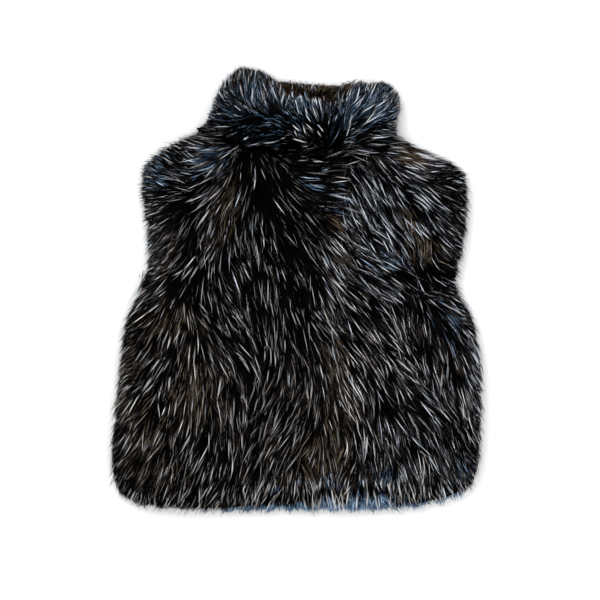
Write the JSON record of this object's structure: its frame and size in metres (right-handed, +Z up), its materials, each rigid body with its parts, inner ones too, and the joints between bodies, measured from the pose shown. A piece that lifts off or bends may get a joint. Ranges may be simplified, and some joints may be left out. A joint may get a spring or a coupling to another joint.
{
  "type": "faux fur vest",
  "caption": "Cropped sleeveless faux fur vest with a stand collar, closed down the front and laid flat on its back, with long dark pile in overlapping locks.",
  "frame": {"origin": "middle of the footprint, on the surface that the vest lies on", "axes": "+Z up out of the front of the laid vest, +Y from the hem towards the collar, +X towards the wearer's left side"},
  "size_m": [0.4842, 0.5792, 0.0559],
  "materials": {
    "outer_fur": "long faux fur pile, near black at the root with silver grey tips",
    "inner_fur": "faux fur pile, dark brown"
  },
  "bodies": {
    "root": {"back": "outer_fur", "front_right": "outer_fur", "front_left": "outer_fur", "collar_right": "outer_fur", "collar_left": "outer_fur", "collar_back": "inner_fur"}
  },
  "joints": []
}
